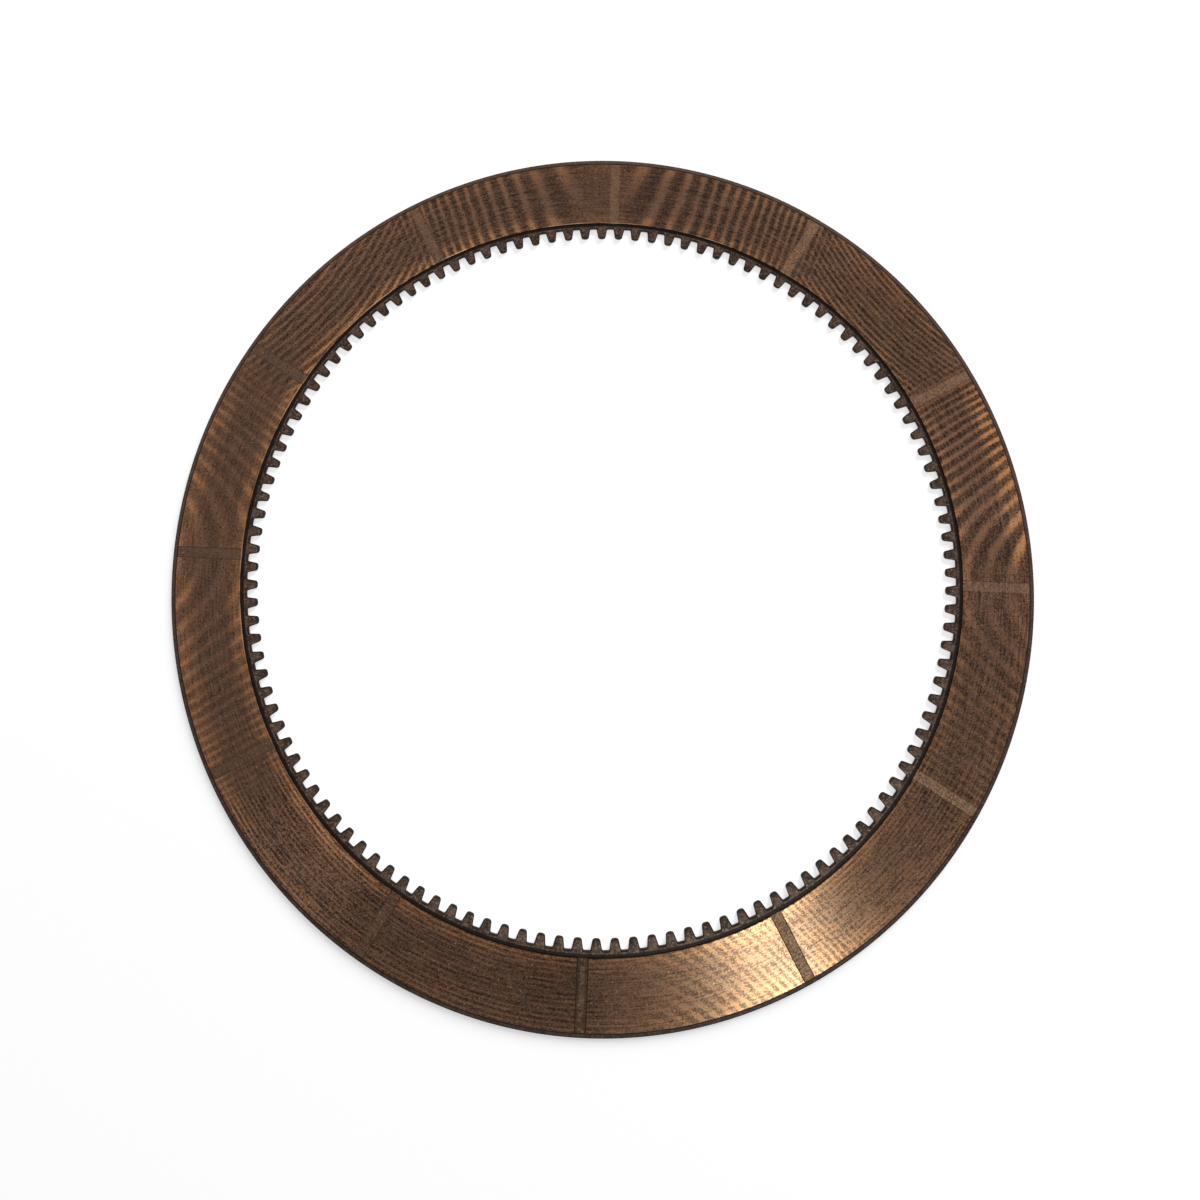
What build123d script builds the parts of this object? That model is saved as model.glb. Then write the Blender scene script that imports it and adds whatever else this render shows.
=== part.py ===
import os
from math import cos, degrees, pi, radians, sin, tan

from build123d import *

# Clutch friction plate: a toothed steel ring with a sintered bronze facing on each face.
# Millimetres, +Z up, origin at the centre of the plate, half way through its thickness.
# The teeth set the size: each ring outside them follows from the spline by its own width.

# Internal spline
TOOTH_COUNT = 124
MODULE = 2.5
TOOTH_HEIGHT = 4.75
TOOTH_SHARE_OF_PITCH = 0.52
GAP_FLANK_ANGLE = 9.5
TIP_CROWN = 0.6
ROOT_BREAK = 0.5
FIRST_TOOTH_ANGLE = 1.97

# Steel core
CORE_THICKNESS = 2.0
INNER_LAND = 2.4
OUTER_LAND = 2.2
RIM_BREAK = 0.3

# Bronze facings
FACING_WIDTH = 28.8
FACING_THICKNESS = 0.7
FACING_EDGE_BREAK = 0.2

# Radial oil grooves, each with a bronze floor
GROOVE_COUNT = 12
GROOVE_WIDTH = 5.0
GROOVE_DEPTH = 0.4
GROOVE_WALL_LEAN = 45.0

# How far a groove cutter runs past each edge of the facing
OVERRUN = 1.0

PITCH_RADIUS = TOOTH_COUNT * MODULE / 2
TIP_RADIUS = PITCH_RADIUS - TOOTH_HEIGHT / 2
ROOT_RADIUS = PITCH_RADIUS + TOOTH_HEIGHT / 2
FACING_INNER_RADIUS = ROOT_RADIUS + INNER_LAND
FACING_OUTER_RADIUS = FACING_INNER_RADIUS + FACING_WIDTH
FACING_MEAN_RADIUS = (FACING_INNER_RADIUS + FACING_OUTER_RADIUS) / 2
CORE_OUTER_RADIUS = FACING_OUTER_RADIUS + OUTER_LAND
TOOTH_STEP = 360 / TOOTH_COUNT


def half_space_angle(radius):
    """Half the angle, in degrees, that the space between two teeth takes up at a radius."""
    half_at_pitch_circle = (1 - TOOTH_SHARE_OF_PITCH) * pi * MODULE / 2
    narrowing = (radius - PITCH_RADIUS) * tan(radians(GAP_FLANK_ANGLE))
    return degrees((half_at_pitch_circle - narrowing) / radius)


def at(radius, angle):
    return (radius * cos(radians(angle)), radius * sin(radians(angle)))


# One tooth space, centred on X, and the crowned tip of the tooth that follows it
with BuildLine() as tooth_space:
    shoulder_radius = TIP_RADIUS + TIP_CROWN
    half_mouth = half_space_angle(shoulder_radius)
    half_floor = half_space_angle(ROOT_RADIUS)
    Polyline(
        at(shoulder_radius, -half_mouth),
        at(ROOT_RADIUS, -half_floor),
        at(ROOT_RADIUS, half_floor),
        at(shoulder_radius, half_mouth),
    )
    chamfer(tooth_space.vertices().group_by(Axis.X)[-1], ROOT_BREAK)
    ThreePointArc(
        at(shoulder_radius, half_mouth),
        at(TIP_RADIUS, TOOTH_STEP / 2),
        at(shoulder_radius, TOOTH_STEP - half_mouth),
    )

# Toothed steel ring: a round blank with its rim broken, and the toothed bore cut through it
with BuildPart() as core_plate:
    lower_face = Plane.XY.offset(-CORE_THICKNESS / 2)
    with BuildSketch(lower_face):
        Circle(CORE_OUTER_RADIUS)
    extrude(amount=CORE_THICKNESS)
    chamfer(core_plate.edges().filter_by(GeomType.CIRCLE), RIM_BREAK)
    with BuildSketch(lower_face):
        with BuildLine():
            with PolarLocations(0, TOOTH_COUNT, start_angle=FIRST_TOOTH_ANGLE + TOOTH_STEP / 2):
                add(tooth_space.line)
        make_face()
    extrude(amount=CORE_THICKNESS, mode=Mode.SUBTRACT)
core_plate.part.label = "core_plate"


# Upper bronze ring, bonded to the core, with oil grooves across its friction face
with BuildPart() as front_facing:
    upper_face = Plane.XY.offset(CORE_THICKNESS / 2)
    with BuildSketch(upper_face):
        Circle(FACING_OUTER_RADIUS)
        Circle(FACING_INNER_RADIUS, mode=Mode.SUBTRACT)
    extrude(amount=FACING_THICKNESS)
    chamfer(front_facing.faces().sort_by(Axis.Z)[-1].edges(), FACING_EDGE_BREAK)
    with BuildSketch(upper_face.offset(FACING_THICKNESS)):
        with PolarLocations(FACING_MEAN_RADIUS, GROOVE_COUNT):
            Rectangle(FACING_WIDTH + 2 * OVERRUN, GROOVE_WIDTH)
    extrude(amount=-GROOVE_DEPTH, taper=GROOVE_WALL_LEAN, mode=Mode.SUBTRACT)
front_facing.part.label = "front_facing"

# Lower bronze ring: the same facing turned over
with BuildPart() as rear_facing:
    add(front_facing.part, rotation=(180, 0, 0))
rear_facing.part.label = "rear_facing"

os.makedirs("parts", exist_ok=True)
for piece in (core_plate, front_facing, rear_facing):
    export_step(piece.part, f"parts/{piece.part.label}.step")
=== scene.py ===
"""Looks of the clutch friction plate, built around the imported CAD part. Lengths are in metres."""

from math import asin, atan2, cos, degrees, pi, radians, sin, tan

import bpy
from mathutils import Matrix, Vector


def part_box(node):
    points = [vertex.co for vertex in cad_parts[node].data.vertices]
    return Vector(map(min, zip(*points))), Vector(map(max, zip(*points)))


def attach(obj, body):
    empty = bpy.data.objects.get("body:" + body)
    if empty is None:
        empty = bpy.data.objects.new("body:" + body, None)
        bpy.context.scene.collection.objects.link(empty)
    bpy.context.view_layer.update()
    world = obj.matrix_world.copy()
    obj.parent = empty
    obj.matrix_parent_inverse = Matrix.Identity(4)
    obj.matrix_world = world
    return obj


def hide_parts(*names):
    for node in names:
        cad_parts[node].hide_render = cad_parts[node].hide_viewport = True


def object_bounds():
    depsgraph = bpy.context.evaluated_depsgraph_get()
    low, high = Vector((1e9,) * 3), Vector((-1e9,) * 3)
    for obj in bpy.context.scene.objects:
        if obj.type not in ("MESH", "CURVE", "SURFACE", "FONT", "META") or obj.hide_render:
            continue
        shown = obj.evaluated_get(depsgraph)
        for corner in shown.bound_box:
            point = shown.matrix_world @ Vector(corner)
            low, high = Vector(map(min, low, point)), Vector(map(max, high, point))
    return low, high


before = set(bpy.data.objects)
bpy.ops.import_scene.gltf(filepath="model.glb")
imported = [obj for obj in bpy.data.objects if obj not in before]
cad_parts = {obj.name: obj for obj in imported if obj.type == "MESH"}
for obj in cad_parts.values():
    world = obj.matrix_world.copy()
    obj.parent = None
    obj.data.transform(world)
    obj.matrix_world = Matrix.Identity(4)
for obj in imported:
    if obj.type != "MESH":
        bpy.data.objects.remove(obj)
cad_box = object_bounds()

MM = 0.001

# Rings of the plate, from the CAD solids
core_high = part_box("core_plate")[1]
facing_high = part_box("front_facing")[1]
FACING_WIDTH = 28.8 * MM
CORE_RADIUS = core_high.x
CORE_TOP = core_high.z
FACING_OUTER = facing_high.x
FACING_TOP = facing_high.z
FACING_INNER = FACING_OUTER - FACING_WIDTH

# Spline, as in the part
TOOTH_COUNT = 124
MODULE = 2.5 * MM
TOOTH_HEIGHT = 4.75 * MM
TOOTH_SHARE = 0.52
GAP_FLANK = radians(9.5)
FIRST_TOOTH = radians(1.97)
PITCH_RADIUS = TOOTH_COUNT * MODULE / 2
TIP_RADIUS = PITCH_RADIUS - TOOTH_HEIGHT / 2
ROOT_RADIUS = PITCH_RADIUS + TOOTH_HEIGHT / 2
TOOTH_STEP = 2 * pi / TOOTH_COUNT

# Rounded teeth and edges of the steel ring
TIP_CROWN = 0.12 * MM
TIP_ROUND = 1.25 * MM
ROOT_ROUND = 0.5 * MM
ROUND_STEPS = 4
TOOTH_EDGE = 0.35 * MM
RIM_EDGE = 0.3 * MM

# The middle point of a rounded edge is this share of the edge's size away from the sharp corner
EDGE_MIDDLE = 0.3

# Divisions of the steel ring's faces: a circle this far outside the tooth roots, which keeps this far from
# the teeth's rounded edges, and one circle this far under each edge of the facing
LAND_START = 0.55 * MM
LEAST_STEP = 0.05 * MM
UNDER_FACING = 1.0 * MM

# Oil grooves of the facings. Two points divide the floor, at this share of the groove's half width
GROOVE_COUNT = 12
GROOVE_HALF = 2.5 * MM
GROOVE_DEPTH = 0.4 * MM
WALL_RUN = 0.4 * MM
FLOOR_DIVISION = 0.4
LAND_STEPS = 30

# Turned rings of the facings. Each row is one point of a ring, as shares of its pitch and its depth
RING_COUNT = 32
RING_DEPTH = 0.02 * MM
RING_SHAPE = ((0.0, 1.0), (0.24, 0.0), (0.76, 0.0))
EDGE_BREAK = 0.2 * MM

# How far a facing reaches down into the steel, so that no gap shows
FOOT_SINK = 0.1 * MM

# Edges sharper than this are not shaded smooth
SHARP_ANGLE = radians(32)

# The plate is turned by this much about its axis in the photograph
TURN = radians(2.3)

# In the photograph the turned rings show as light and dark bands, like wood grain. Each row paints one
# sector of them as the beat of rings with straight lines: the sector's middle and half width in degrees,
# rings per millimetre, lines per millimetre, the direction across the lines in degrees, and the strength
GRAIN = (
    (-18, 18, 0.56, 0.66, 0, 0.35),
    (15, 14, 0.56, 0.66, 0, 0.85),
    (42, 13, 0.45, 0.84, 44, 0.8),
    (70, 15, 0.55, 0.58, 92, 0.85),
    (107, 13, 0.55, 0.58, 92, 0.7),
    (135, 15, 0.36, 0.64, 140, 0.6),
    (181, 30, 0.51, 0.60, 180, 0.28),
    (225, 13, 0.54, 0.0, 0, 0.5),
    (256, 17, 0.48, 0.0, 0, 0.35),
    (292, 13, 0.50, 0.69, 272, 0.85),
    (317, 12, 0.53, 0.0, 0, 0.5),
)

# How much of a band is a wave of twice its frequency, and how far noise bends the bands, in radians
OVERTONE = 0.25
BROAD_BEND = 2.4
FINE_BEND = 0.3

# Broad lighter and darker places on the facings, painted sheen and painted shade where the turned bronze
# catches more or less light: middle angle, half width, and share lighter
SECTOR_SHEEN_AND_SHADE = (
    (0, 9, 0.14),
    (15, 9, 0.22),
    (60, 12, 0.08),
    (210, 14, -0.10),
    (225, 7, 0.22),
    (250, 20, -0.24),
    (270, 10, -0.10),
    (318, 12, -0.10),
)

# Where the fine grain is stronger or weaker: middle angle, half width, and share stronger
FINE_BOOSTS = (
    (88, 14, -0.25),
    (180, 34, -0.35),
    (226, 10, 0.4),
    (302, 24, 0.75),
)

# How light the floor of each groove is, counter-clockwise from +X, and half the sector that it fills. The
# lightness is painted sheen and painted shade, set by the groove's direction
GROOVE_FLOOR_SHEEN_AND_SHADE = (1.7, 1.9, 2.2, 1.75, 1.6, 1.2, 1.12, 1.0, 0.85, 0.4, 1.3, 1.45)
FLOOR_TONE_HALF = 12

# The bottom groove has a broken light line down its middle: its sector and strength, and how far from the
# middle it starts and is full
DASHES = (270, 12, 0.3)
DASH_EDGE = (1.3 * MM, 0.7 * MM)

# In the highlight the dark bands are narrower, and not as dark, which paints extra highlight there: a sector
# and a strength for each
NARROW_DARK = (298, 20, 0.5)
PALE_DARK = (298, 26, 0.22)

# The facing is lighter near its edges, a painted sheen: where that starts and where it is full, in from the
# edge, and how strong it is all round the outer edge and in two sectors of it
INNER_GLOW = (7 * MM, 1 * MM)
OUTER_GLOW = 11 * MM
OUTER_GLOW_SHARE = 0.25
OUTER_GLOW_SECTORS = (
    (13, 11, 1.2),
    (186, 30, 0.75),
)

# The broken inner edge catches the light, as a painted highlight: where that starts and where it is full, in
# from the edge
LIP = (0.4 * MM, 0.15 * MM)

# Painted shade on the steel beside the facing's foot, as dark lines: where each starts and is full, away
# from the facing's edge
INNER_FOOT_SHADE = (1.7 * MM, 1.2 * MM)
OUTER_FOOT_SHADE = (0.8 * MM, 0.45 * MM)

# A sector fades in and out over this many degrees to each side of its end
SOFT_END = 4

# Grain of the bronze: crystals per metre, and the weight of each kind of grain in the colour
CRYSTAL_SCALE = 2100.0
CRYSTAL_WEIGHT = 0.75
MARK_WEIGHT = 0.3
LINE_WEIGHT = 1.3
CLOUD_WEIGHT = 0.6
BAND_WEIGHT = 0.4

# Pits and bright flecks of the bronze: cells per metre, the share of the cells that have one, and how far
# each hides the colour under it
SPOT_SCALE = 950.0
PIT_SHARE = 0.09
PIT_STRENGTH = 0.75
FLECK_SHARE = 0.035
FLECK_STRENGTH = 0.4

# How far the steel's glints and pits, the painted light and shade on its rim and its lines of painted shade
# hide the colour under them
GLINT_STRENGTH = 0.8
RIM_STRENGTH = 0.6
FOOT_SHADE_STRENGTH = 0.92

# How deep the full range of a bump texture is, in metres
BUMP_DISTANCE = 0.0001


def srgb(red, green, blue):
    """Linear colour of three 8-bit display values."""
    def linear(value):
        value /= 255
        return value / 12.92 if value <= 0.04045 else ((value + 0.055) / 1.055) ** 2.4
    return (linear(red), linear(green), linear(blue), 1.0)


# Colours of the bronze, and what its painted edge sheen, cool and warm places multiply it by
LAND_DARK = srgb(45, 34, 28)
LAND_LIGHT = srgb(112, 83, 65)
FLOOR_DARK = srgb(58, 44, 36)
FLOOR_LIGHT = srgb(104, 79, 61)
LIP_LIGHT = srgb(186, 142, 110)
BRONZE_FLECK = srgb(166, 132, 102)
BRONZE_PIT = srgb(26, 18, 14)
GLOW = (2.4, 2.1, 1.55, 1.0)
COOL = (0.96, 0.98, 1.0, 1.0)
WARM = (1.06, 1.01, 0.96, 1.0)

# Colours of the steel
STEEL_DARK = srgb(54, 42, 36)
STEEL_LIGHT = srgb(90, 72, 62)
STEEL_GLINT = srgb(136, 114, 98)
STEEL_PIT = srgb(24, 17, 15)
# Edges and walls of the steel, darker with painted shade
SHADED_EDGE_DARK = srgb(24, 17, 14)
SHADED_EDGE_LIGHT = srgb(50, 37, 31)
# Rim of the steel, painted darker towards -Y and lighter towards +Y as light and shade
RIM_DARK = srgb(52, 40, 35)
RIM_LIGHT = srgb(96, 75, 65)
# Dark colour of the painted shade beside the facing's foot
FOOT_SHADE_DARK = srgb(20, 13, 11)

# Rays for which the floor and the world are white
SEEN_RAYS = ("Is Camera Ray", "Is Glossy Ray", "Is Transmission Ray")

# Sockets of the Mix node for colours, whose names are not unique
MIX_SHARE = 0
MIX_FIRST = 6
MIX_SECOND = 7
MIX_RESULT = 2


class Value:
    """One output of a shader node. Arithmetic with it adds the nodes that work it out."""

    def __init__(self, graph, socket):
        self.graph = graph
        self.socket = socket

    def __add__(self, other):
        return self.graph.math("ADD", self, other)

    def __radd__(self, other):
        return self.graph.math("ADD", other, self)

    def __sub__(self, other):
        return self.graph.math("SUBTRACT", self, other)

    def __rsub__(self, other):
        return self.graph.math("SUBTRACT", other, self)

    def __mul__(self, other):
        return self.graph.math("MULTIPLY", self, other)

    def __truediv__(self, other):
        return self.graph.math("DIVIDE", self, other)


class Graph:
    """The shader nodes of one material or world. Inputs are constants or values of other nodes."""

    def __init__(self, tree):
        self.tree = tree
        self.tree.nodes.clear()

    def node(self, kind, inputs=None, **settings):
        """A new node, with its settings made and its inputs set or linked."""
        made = self.tree.nodes.new("ShaderNode" + kind)
        for key, setting in settings.items():
            setattr(made, key, setting)
        for key, given in (inputs or {}).items():
            if isinstance(given, Value):
                self.tree.links.new(given.socket, made.inputs[key])
            else:
                made.inputs[key].default_value = given
        return made

    def value(self, kind, output, inputs=None, **settings):
        """One output of a new node."""
        return Value(self, self.node(kind, inputs, **settings).outputs[output])

    def math(self, operation, first, second=0.0):
        return self.value("Math", 0, {0: first, 1: second}, operation=operation)

    def ramp(self, value, low, high, out_low=0.0, out_high=1.0):
        """A smooth step, from out_low where the value is low to out_high where it is high."""
        inputs = {"Value": value, "From Min": low, "From Max": high, "To Min": out_low, "To Max": out_high}
        return self.value("MapRange", 0, inputs, interpolation_type="SMOOTHSTEP")

    def seen(self):
        """1 for what the camera sees, also in reflections and through glass, and 0 for lighting."""
        path = self.node("LightPath").outputs
        camera, glossy, through = (Value(self, path[ray]) for ray in SEEN_RAYS)
        return self.math("MAXIMUM", self.math("MAXIMUM", camera, glossy), through)

    def finish(self, shader, output="OutputMaterial"):
        self.node(output, {"Surface": shader})


class Surface(Graph):
    """One material's nodes, with the coordinates of each point in its piece, and its radius."""

    def __init__(self, name):
        self.material = bpy.data.materials.new(name)
        self.material.use_nodes = True
        super().__init__(self.material.node_tree)
        self.coords = self.value("TexCoord", "Object")
        split = self.node("SeparateXYZ", {0: self.coords}).outputs
        self.x = Value(self, split["X"])
        self.y = Value(self, split["Y"])
        self.radius = self.math("SQRT", self.x * self.x + self.y * self.y)

    def vector(self, x, y, z):
        return self.value("CombineXYZ", 0, {0: x, 1: y, 2: z})

    def noise(self, scale, detail=2.0, roughness=0.5, point=None):
        """Noise from 0 to 1, at the coordinates unless another point is given."""
        inputs = {"Vector": point or self.coords, "Scale": scale, "Detail": detail, "Roughness": roughness}
        return self.value("TexNoise", 0, inputs)

    def drawn_out(self, around, across):
        """Noise that is drawn out round the axis, with one scale round the axis and one across the rings."""
        toward_x = self.x / self.radius
        toward_y = self.y / self.radius
        point = self.vector(toward_x * around, toward_y * around, self.radius * across)
        return self.noise(scale=1.0, detail=1.0, point=point)

    def cells(self, scale):
        """Random cells: one value from 0 to 1 for each cell, and the distance from its middle."""
        made = self.node("TexVoronoi", {"Vector": self.coords, "Scale": scale}, feature="F1").outputs
        pick = self.value("SeparateXYZ", 0, {0: Value(self, made["Color"])})
        return pick, Value(self, made["Distance"])

    def window(self, middle, half, strength):
        """The strength over a sector of the plate, with soft ends, and 0 elsewhere."""
        centre = radians(middle) + TURN
        toward = (self.x * cos(centre) + self.y * sin(centre)) / self.radius
        outside = cos(radians(half + SOFT_END))
        inside = cos(radians(half - SOFT_END))
        return self.ramp(toward, outside, inside, 0.0, strength)

    def sectors(self, rows, base=1.0):
        """The base, with each row's strength added over its own sector."""
        total = base
        for middle, half, strength in rows:
            total = total + self.window(middle, half, strength)
        return total

    def mix(self, share, first, second, blend="MIX"):
        """The first colour, changed to the second by its share."""
        inputs = {MIX_SHARE: share, MIX_FIRST: first, MIX_SECOND: second}
        return self.value("Mix", MIX_RESULT, inputs, data_type="RGBA", blend_type=blend)

    def scaled(self, colour, tone):
        return self.value("VectorMath", 0, {0: colour, "Scale": tone}, operation="SCALE")

    def bump(self, strength, height):
        return self.value("Bump", 0, {"Strength": strength, "Distance": BUMP_DISTANCE, "Height": height})


def fine_grain(surface, crystals, marks):
    """Sintered crystals, short turned marks and long turned lines, above and below 0."""
    lines = surface.drawn_out(around=16.0, across=1700.0)
    turned = (marks - 0.5) * MARK_WEIGHT + (lines - 0.5) * LINE_WEIGHT
    grain = (crystals - 0.5) * CRYSTAL_WEIGHT + turned
    return grain * surface.sectors(FINE_BOOSTS)


def grain_bands(surface, bend):
    """The light and dark bands of grain, about from -1 to 1. The bend is added to their phase."""
    here = surface.vector(surface.x, surface.y, surface.radius)
    total = 0.0
    for middle, half, rings, lines, across, strength in GRAIN:
        lines_x = lines * cos(radians(across))
        lines_y = lines * sin(radians(across))
        gradient = Vector((-lines_x, -lines_y, rings))
        gradient *= 2 * pi / MM
        straight = surface.value("VectorMath", "Value", {0: here, 1: gradient}, operation="DOT_PRODUCT")
        phase = straight + bend
        wave = surface.math("COSINE", phase) + surface.math("COSINE", phase * 2.0) * OVERTONE
        total = total + wave * surface.window(middle, half, strength)
    return total


def narrowed(surface, bands):
    """The bands, with narrower dark ones in the highlight."""
    darkness = (1.0 - surface.math("MINIMUM", bands, 1.0)) * 0.5
    power = surface.sectors([NARROW_DARK])
    return 1.0 - surface.math("POWER", darkness, power) * 2.0


def painted_edge_sheen(surface, bands, cloud):
    """How much painted sheen lightens the facing near its edges, most of all in its light bands."""
    glow_start, glow_full = INNER_GLOW
    inner = surface.ramp(surface.radius, FACING_INNER + glow_start, FACING_INNER + glow_full)
    # The painted sheen on the inner edge is strongest towards -X
    inner = inner * surface.ramp(surface.x / surface.radius, 0.4, -0.9, 0.3, 0.9)
    outer = surface.ramp(surface.radius, FACING_OUTER - OUTER_GLOW, FACING_OUTER)
    outer = outer * surface.sectors(OUTER_GLOW_SECTORS, OUTER_GLOW_SHARE)
    return (inner + outer) * surface.ramp(bands + cloud * CLOUD_WEIGHT, -0.3, 1.1, 0.3, 1.2)


def land_colour(surface, fine, marks, cloud):
    """The turned face between the grooves."""
    bend = (surface.noise(scale=45.0) - 0.5) * BROAD_BEND + (marks - 0.5) * FINE_BEND
    bands = narrowed(surface, grain_bands(surface, bend))
    fade = surface.ramp(surface.noise(scale=38.0), 0.3, 0.7, 0.8, 1.2)
    share = (0.5 + fine) + bands * fade * BAND_WEIGHT
    # Painted highlight: the dark colour is paler in the highlight's sector
    dark = surface.mix(surface.window(*PALE_DARK), LAND_DARK, LAND_LIGHT)
    colour = surface.mix(share, dark, LAND_LIGHT)
    glowing = surface.mix(1.0, colour, GLOW, "MULTIPLY")
    colour = surface.mix(painted_edge_sheen(surface, bands, cloud), colour, glowing)
    # The broad sectors scale the colour with painted sheen and painted shade
    return surface.scaled(colour, surface.sectors(SECTOR_SHEEN_AND_SHADE))


def groove_colour(surface, fine, cloud):
    """The floor and walls of the grooves, each groove with its own lightness of painted sheen and painted
    shade.
    """
    share = 0.5 + (fine + (cloud - 0.5) * CLOUD_WEIGHT)
    colour = surface.mix(share, FLOOR_DARK, FLOOR_LIGHT)
    rows = []
    for groove, tone in enumerate(GROOVE_FLOOR_SHEEN_AND_SHADE):
        rows.append((groove * 360 / GROOVE_COUNT - degrees(TURN), FLOOR_TONE_HALF, tone - 1.0))
    middle_line = surface.ramp(surface.math("ABSOLUTE", surface.x), *DASH_EDGE)
    dashes = middle_line * surface.ramp(surface.noise(scale=420.0), 0.42, 0.56)
    return surface.scaled(colour, surface.sectors(rows) + dashes * surface.window(*DASHES))


def tints_and_lip_highlight(surface, colour, cloud):
    """The colour with its cooler and warmer places, and a painted highlight on the broken inner edge."""
    warm = surface.ramp(surface.noise(scale=85.0, detail=3.0, roughness=0.65), 0.36, 0.66)
    colour = surface.mix(1.0, colour, surface.mix(warm, COOL, WARM), "MULTIPLY")
    lip_start, lip_full = LIP
    lip = surface.ramp(surface.radius, FACING_INNER + lip_start, FACING_INNER + lip_full)
    upper_left = surface.y / surface.radius - surface.x / surface.radius
    # The painted highlight is strongest towards the upper left
    lip = lip * surface.ramp(upper_left, -0.6, 0.9)
    return surface.mix(lip * surface.ramp(cloud, 0.45, 0.62, 0.0, 0.75), colour, LIP_LIGHT)


def pits_and_flecks(surface):
    """How much of a dark pit, and of a bright fleck, is at each point."""
    pick, distance = surface.cells(SPOT_SCALE)
    spot = surface.ramp(distance, 0.4, 0.2)
    pit = spot * surface.math("LESS_THAN", pick, PIT_SHARE)
    fleck = spot * surface.math("GREATER_THAN", pick, 1 - FLECK_SHARE)
    return pit, fleck


def bronze(name, groove=False):
    """Turned sintered bronze, or the rougher bronze of the grooves, both with pits and bright flecks."""
    surface = Surface(name)
    crystals = surface.cells(CRYSTAL_SCALE)[0]
    marks = surface.drawn_out(around=150.0, across=2000.0)
    cloud = surface.noise(scale=60.0, detail=3.0, roughness=0.6)
    fine = fine_grain(surface, crystals, marks)
    if groove:
        colour = groove_colour(surface, fine, cloud)
    else:
        colour = land_colour(surface, fine, marks, cloud)
    colour = tints_and_lip_highlight(surface, colour, cloud)
    pit, fleck = pits_and_flecks(surface)
    colour = surface.mix(fleck * FLECK_STRENGTH, colour, BRONZE_FLECK)
    colour = surface.mix(pit * PIT_STRENGTH, colour, BRONZE_PIT)
    finish = {
        "Base Color": colour,
        "Metallic": 0.97,
        "Roughness": 0.52 if groove else 0.28,
        "Normal": surface.bump(0.06, crystals * 0.6 - pit),
    }
    if not groove:
        finish["Anisotropic"] = 0.8
        finish["Anisotropic Rotation"] = 0.25
        finish["Tangent"] = surface.value("Tangent", 0, direction_type="RADIAL", axis="Z")
    surface.finish(surface.value("BsdfPrincipled", 0, finish))
    return surface.material


def steel_face_colour(surface, speck):
    """Mottled steel with glints and pits, painted light and shade on the rim, and a dark line of painted
    shade beside the facing's foot.
    """
    mottle = surface.ramp(surface.noise(scale=240.0, detail=3.0, roughness=0.6), 0.35, 0.65)
    colour = surface.mix(mottle, STEEL_DARK, STEEL_LIGHT)
    colour = surface.mix(surface.ramp(speck, 0.52, 0.66) * GLINT_STRENGTH, colour, STEEL_GLINT)
    colour = surface.mix(surface.ramp(speck, 0.48, 0.34) * GLINT_STRENGTH, colour, STEEL_PIT)
    outside = surface.ramp(surface.radius, FACING_INNER + 2 * MM, FACING_OUTER - 2 * MM)
    # Painted light and shade on the rim: darker towards -Y, lighter towards +Y
    rim_light_and_shade = surface.ramp(surface.y / surface.radius, -0.8, 0.8)
    rim_colour = surface.mix(rim_light_and_shade, RIM_DARK, RIM_LIGHT)
    colour = surface.mix(outside * RIM_STRENGTH, colour, rim_colour)
    shade_start, shade_full = INNER_FOOT_SHADE
    inner = surface.ramp(surface.radius, FACING_INNER - shade_start, FACING_INNER - shade_full)
    shade_start, shade_full = OUTER_FOOT_SHADE
    outer = surface.ramp(surface.radius, FACING_OUTER + shade_start, FACING_OUTER + shade_full)
    # The line of painted shade beside the facing's foot, inside and outside it
    line = surface.math("MAXIMUM", inner * (1.0 - outside), outer * outside)
    return surface.mix(line * FOOT_SHADE_STRENGTH, colour, FOOT_SHADE_DARK)


def steel(name, edge=False):
    """Oil-darkened steel: its faces, or its edges and walls, darkened further with painted shade."""
    surface = Surface(name)
    speck = surface.noise(scale=900.0, detail=4.0, roughness=0.75)
    if edge:
        colour = surface.mix(surface.ramp(speck, 0.3, 0.7), SHADED_EDGE_DARK, SHADED_EDGE_LIGHT)
    else:
        colour = steel_face_colour(surface, speck)
    finish = {
        "Base Color": colour,
        "Metallic": 0.35,
        "Roughness": 0.45,
        "Specular IOR Level": 0.1,
        "Normal": surface.bump(0.3, speck),
    }
    surface.finish(surface.value("BsdfPrincipled", 0, finish))
    return surface.material


bronze_turned = bronze("bronze_turned")
bronze_floor = bronze("bronze_floor", groove=True)
steel_face = steel("steel_face")
steel_shaded_edge = steel("steel_shaded_edge", edge=True)


def polar(radius, angle, height):
    return Vector((radius * cos(angle), radius * sin(angle), height))


def show(name, data):
    """A new object in the scene, with this mesh, lamp or camera."""
    made = bpy.data.objects.new(name, data)
    bpy.context.scene.collection.objects.link(made)
    return made


def band(name, columns, materials, pick):
    """A closed ring of closed profiles, all with the same number of points."""
    count = len(columns[0])
    points = [point for column in columns for point in column]
    faces = []
    chosen = []
    for here in range(len(columns)):
        after = (here + 1) % len(columns)
        for low in range(count):
            high = (low + 1) % count
            corners = (here * count + low, here * count + high, after * count + high, after * count + low)
            faces.append(corners)
            chosen.append(pick(here, low))
    mesh = bpy.data.meshes.new(name)
    mesh.from_pydata(points, [], faces)
    for material in materials:
        mesh.materials.append(material)
    mesh.polygons.foreach_set("material_index", chosen)
    mesh.shade_smooth()
    mesh.set_sharp_from_angle(angle=SHARP_ANGLE)
    return show(name, mesh)


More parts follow.
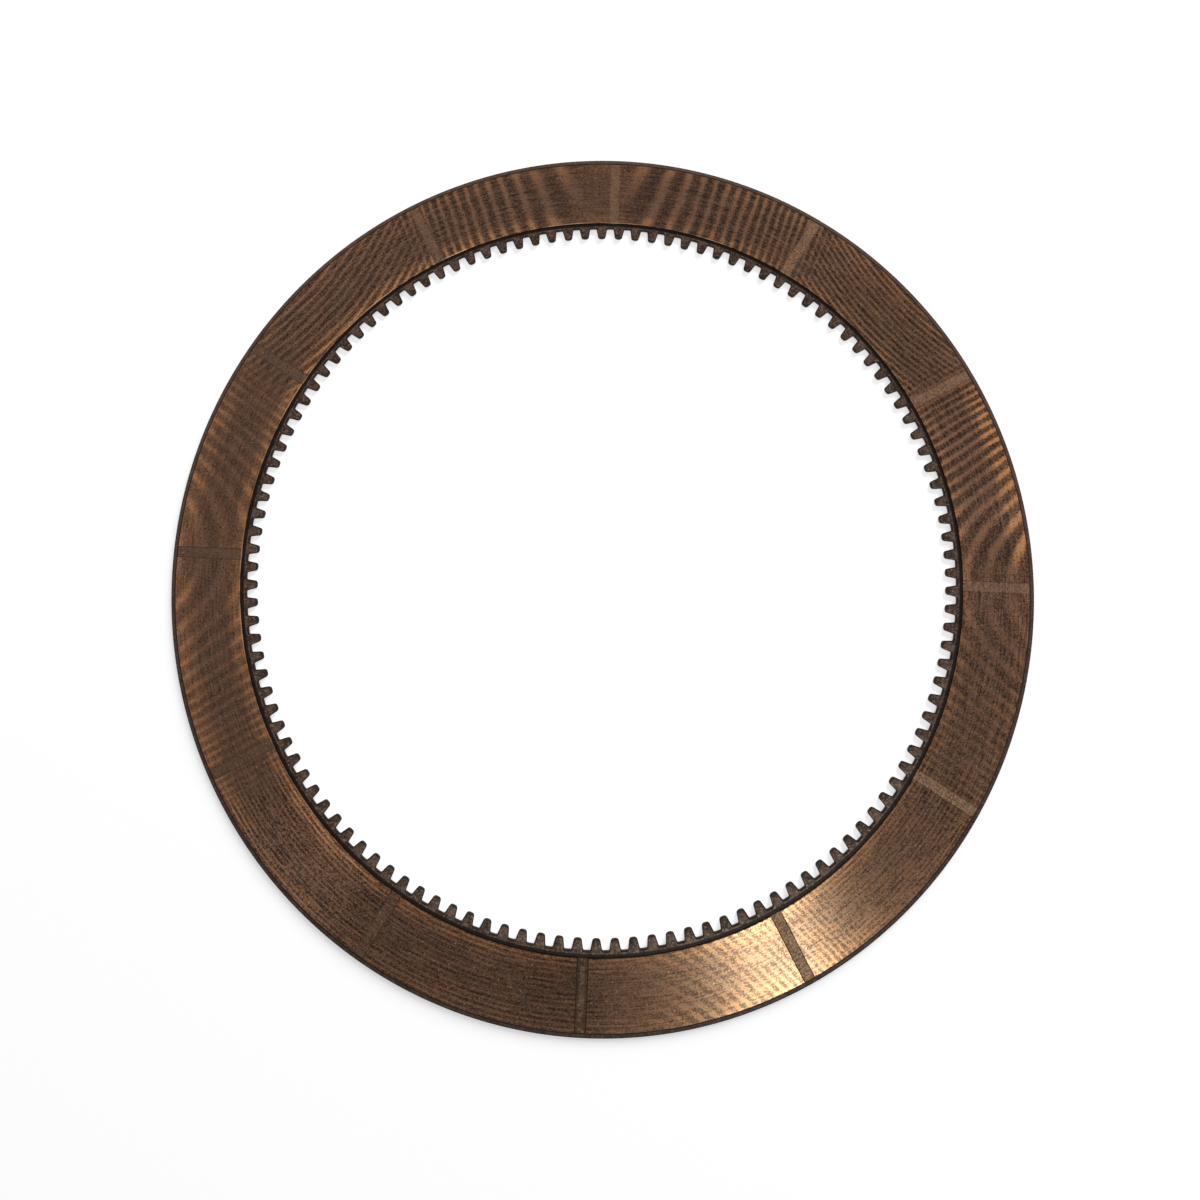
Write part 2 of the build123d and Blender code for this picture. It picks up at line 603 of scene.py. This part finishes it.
def facing_profile():
    """Across the facing from its inner edge to its outer one: the radius and height of each point."""
    pitch = (FACING_OUTER - FACING_INNER) / RING_COUNT
    foot = CORE_TOP - FOOT_SINK
    profile = [(FACING_INNER, foot), (FACING_INNER, FACING_TOP - EDGE_BREAK)]
    for ring in range(RING_COUNT):
        start = FACING_INNER + ring * pitch
        for share, drop in RING_SHAPE:
            inset = EDGE_BREAK if ring == 0 and share == 0 else 0.0
            profile.append((start + share * pitch + inset, FACING_TOP - RING_DEPTH * drop))
    profile.append((FACING_OUTER - EDGE_BREAK, FACING_TOP))
    profile.append((FACING_OUTER, FACING_TOP - EDGE_BREAK))
    profile.append((FACING_OUTER, foot))
    return profile


def groove_points():
    """Across one groove: how far each point is from its middle, and how deep."""
    wall_foot = GROOVE_HALF - WALL_RUN
    division = GROOVE_HALF * FLOOR_DIVISION
    floor = [(place, GROOVE_DEPTH) for place in (-wall_foot, -division, division, wall_foot)]
    return [(-GROOVE_HALF, 0.0)] + floor + [(GROOVE_HALF, 0.0)]


def facing(name):
    """The bronze ring with its turned rings and its radial oil grooves, front side up."""
    profile = facing_profile()
    groove_line = groove_points()
    sector = 2 * pi / GROOVE_COUNT
    columns = []
    in_groove = []
    for groove in range(GROOVE_COUNT):
        middle = groove * sector
        for across, depth in groove_line:
            column = []
            for radius, height in profile:
                level = min(height, FACING_TOP - depth)
                column.append(polar(radius, middle + asin(across / radius), level))
            columns.append(column)
            in_groove.append(across < GROOVE_HALF)
        for step in range(1, LAND_STEPS):
            column = []
            for radius, height in profile:
                edge = asin(GROOVE_HALF / radius)
                angle = middle + edge + (sector - 2 * edge) * step / LAND_STEPS
                column.append(polar(radius, angle, height))
            columns.append(column)
            in_groove.append(False)
    return band(name, columns, [bronze_turned, bronze_floor], lambda here, low: int(in_groove[here]))


def half_space(radius):
    """Half the angle of the space between two teeth at a radius."""
    at_pitch = (1 - TOOTH_SHARE) * pi * MODULE / 2
    return (at_pitch - (radius - PITCH_RADIUS) * tan(GAP_FLANK)) / radius


def rounded(points, radii):
    """An open line of 2-D points, with each corner rounded to its radius."""
    line = [points[0]]
    for before, corner, after, radius in zip(points, points[1:], points[2:], radii):
        if not radius:
            line.append(corner)
            continue
        back = (before - corner).normalized()
        ahead = (after - corner).normalized()
        half = back.angle(ahead) / 2
        reach = radius / tan(half)
        centre = corner + (back + ahead).normalized() * (radius / sin(half))
        first = corner + back * reach - centre
        last = corner + ahead * reach - centre
        swing = first.angle_signed(last)
        for step in range(ROUND_STEPS + 1):
            turned = first.copy()
            turned.rotate(Matrix.Rotation(-swing * step / ROUND_STEPS, 2))
            line.append(centre + turned)
    line.append(points[-1])
    return line


def tooth_line():
    """One pitch of the bore, from the middle of a tooth space to the middle of the next."""
    root = half_space(ROOT_RADIUS)
    mouth = half_space(TIP_RADIUS)
    shoulder = TIP_RADIUS + TIP_CROWN
    corners = [
        polar(ROOT_RADIUS, 0.0, 0.0),
        polar(ROOT_RADIUS, root, 0.0),
        polar(shoulder, mouth, 0.0),
        polar(TIP_RADIUS, TOOTH_STEP / 2, 0.0),
        polar(shoulder, TOOTH_STEP - mouth, 0.0),
        polar(ROOT_RADIUS, TOOTH_STEP - root, 0.0),
        polar(ROOT_RADIUS, TOOTH_STEP, 0.0),
    ]
    flat = [corner.to_2d() for corner in corners]
    return rounded(flat, [ROOT_ROUND, TIP_ROUND, 0.0, TIP_ROUND, ROOT_ROUND])[:-1]


def bore_outline():
    """The toothed bore, as one closed line of 2-D points."""
    pitch_line = tooth_line()
    outline = []
    for tooth in range(TOOTH_COUNT):
        turn = Matrix.Rotation(FIRST_TOOTH + TOOTH_STEP * (tooth + 0.5), 2)
        outline += [turn @ point for point in pitch_line]
    return outline


def core_column(point, inward):
    """The steel ring's profile at one point of the bore: over its upper face, and back under it."""
    angle = atan2(point.y, point.x)
    halfway = point + inward * TOOTH_EDGE * EDGE_MIDDLE
    set_in = point + inward * TOOTH_EDGE
    angle_in = atan2(set_in.y, set_in.x)
    land_radius = max(ROOT_RADIUS + LAND_START, set_in.length + LEAST_STEP)
    upper = [
        Vector((point.x, point.y, CORE_TOP - TOOTH_EDGE)),
        Vector((halfway.x, halfway.y, CORE_TOP - TOOTH_EDGE * EDGE_MIDDLE)),
        Vector((set_in.x, set_in.y, CORE_TOP)),
        polar(land_radius, angle_in, CORE_TOP),
        polar(FACING_INNER + UNDER_FACING, angle, CORE_TOP),
        polar(FACING_OUTER - UNDER_FACING, angle, CORE_TOP),
        polar(CORE_RADIUS - RIM_EDGE, angle, CORE_TOP),
        polar(CORE_RADIUS - RIM_EDGE * EDGE_MIDDLE, angle, CORE_TOP - RIM_EDGE * EDGE_MIDDLE),
        polar(CORE_RADIUS, angle, CORE_TOP - RIM_EDGE),
    ]
    lower = [Vector((high.x, high.y, -high.z)) for high in reversed(upper)]
    return upper + lower


# Strips of each half of the profile that are edges or walls, which get the steel darkened with painted
# shade: two on the tooth, two on the rim, and the wall
EDGE_STRIPS = (0, 1, 6, 7, 8)


def core(name):
    """The toothed steel ring with rounded teeth and rounded edges."""
    outline = bore_outline()
    columns = []
    for place, point in enumerate(outline):
        along = (outline[(place + 1) % len(outline)] - outline[place - 1]).normalized()
        columns.append(core_column(point, Vector((along.y, -along.x))))
    half = len(columns[0]) // 2
    return band(name, columns, [steel_face, steel_shaded_edge], lambda here, low: int(low % half in EDGE_STRIPS))


front = facing("facing_front_turned")
rear = facing("facing_rear_turned")
rear.rotation_euler = (pi, 0, 0)
ring = core("core_toothed_ring")
for piece, node, slot in ((front, "front_facing", "sintered_bronze"),
                          (rear, "rear_facing", "sintered_bronze"),
                          (ring, "core_plate", "core_steel")):
    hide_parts(node)
    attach(piece, "root")

# Floor: half its side, the grey of its paper, and the extra light where it is seen: everywhere, inside the
# bore, and far from the plate, with the radius where each of the last two starts and where it is full
FLOOR_HALF = 6.0
PAPER = (0.8, 0.8, 0.8, 1.0)
FLOOR_GLOW = 0.455
# Inside the bore the extra light is painted light on the floor, which pales the plate's shadow there
BORE_GLOW = 0.22
BORE_GLOW_RADII = (0.160, 0.156)
FAR_GLOW = 0.55
FAR_GLOW_RADII = (0.5, 2.5)

# World: its light on the scene. It is white where it is seen
WORLD_LIGHT = 0.28
WHITE = (1.0, 1.0, 1.0, 1.0)


def floor_paper():
    """White paper, topped up to full white where it is seen, so that only the shadow shows."""
    surface = Surface("studio_floor")
    seen = surface.seen()
    bore = surface.ramp(surface.radius, *BORE_GLOW_RADII, 0.0, BORE_GLOW)
    far = surface.ramp(surface.radius, *FAR_GLOW_RADII, 0.0, FAR_GLOW)
    paper = surface.value("BsdfDiffuse", 0, {"Color": PAPER})
    strength = seen * (FLOOR_GLOW + bore + far)
    glow = surface.value("Emission", 0, {"Color": WHITE, "Strength": strength})
    surface.finish(surface.value("AddShader", 0, {0: paper, 1: glow}))
    return surface.material


def studio_floor():
    """A wide flat sheet at the height of the plate's lowest point."""
    low = cad_box[0].z
    corners = [(-FLOOR_HALF, -FLOOR_HALF, low), (FLOOR_HALF, -FLOOR_HALF, low),
               (FLOOR_HALF, FLOOR_HALF, low), (-FLOOR_HALF, FLOOR_HALF, low)]
    mesh = bpy.data.meshes.new("studio_floor")
    mesh.from_pydata(corners, [], [(0, 1, 2, 3)])
    mesh.materials.append(floor_paper())
    return show("studio_floor", mesh)


def studio_world():
    """Soft light from all round, white where it is seen."""
    world = bpy.data.worlds.new("studio")
    world.use_nodes = True
    graph = Graph(world.node_tree)
    strength = graph.ramp(graph.seen(), 0.0, 1.0, WORLD_LIGHT, 1.0)
    graph.finish(graph.value("Background", 0, {"Color": WHITE, "Strength": strength}), "OutputWorld")
    return world


floor = studio_floor()
bpy.context.scene.world = studio_world()


def lamp(name, azimuth, elevation, distance, size, power, aim=(0, 0, 0), diffuse=True, glossy=True,
         tint=(1.0, 1.0, 1.0)):
    """A square softbox that looks at a point of the plate, with azimuth counter-clockwise from +X."""
    data = bpy.data.lights.new(name, "AREA")
    data.size = size
    data.energy = power
    data.color = tint
    made = show(name, data)
    flat = cos(radians(elevation))
    away = Vector((cos(radians(azimuth)) * flat, sin(radians(azimuth)) * flat, sin(radians(elevation))))
    made.location = Vector(aim) + away * distance
    made.rotation_mode = "QUATERNION"
    made.rotation_quaternion = away.to_track_quat("Z", "Y")
    made.visible_diffuse = diffuse
    made.visible_glossy = glossy
    made.visible_camera = False


# The key light makes the soft shadow, and the small lamp the fan-shaped highlight at 5 o'clock
lamp("key_softbox", azimuth=64, elevation=33, distance=4.0, size=2.4, power=143.0, glossy=False)
lamp("fan_softbox", azimuth=-66, elevation=63, distance=1.2, size=0.12, power=4.5,
     aim=(0.076, -0.157, 0.0), diffuse=False, tint=(0.83, 1.0, 0.93))

# Camera: the side of the photograph, the focal length and how far the lens axis is above the middle of the
# picture, in pixels, and the angles at which it looks down
IMAGE_SIDE = 1200
FOCAL_PIXELS = 820
AXIS_PIXELS_UP = 180
CAMERA_TILT = radians(-7.45)
CAMERA_LEAN = radians(-0.92)

# Its place from the middle of the steel ring's upper face, in radii of that ring, along its own axes
CAMERA_OFFSET = Vector((0.002, 0.348, 1.904))

# Width of the sensor, in the millimetres that Blender counts it in, and the nearest thing it sees
SENSOR = 36.0
NEAREST = 0.01


def photo_camera():
    """The camera that took the photograph."""
    data = bpy.data.cameras.new("photo_camera")
    data.sensor_width = SENSOR
    data.lens = SENSOR * FOCAL_PIXELS / IMAGE_SIDE
    data.shift_y = -AXIS_PIXELS_UP / IMAGE_SIDE
    data.clip_start = NEAREST
    look = Matrix.Rotation(CAMERA_LEAN, 3, "Y") @ Matrix.Rotation(CAMERA_TILT, 3, "X")
    turned = Matrix.Rotation(TURN, 3, "Z") @ look.transposed()
    spot = turned @ (CAMERA_OFFSET * CORE_RADIUS) + Vector((0, 0, CORE_TOP))
    camera = show("photo_camera", data)
    camera.matrix_world = Matrix.Translation(spot) @ turned.to_4x4()
    return camera


bpy.context.scene.camera = photo_camera()
bpy.context.scene.view_settings.view_transform = "Standard"
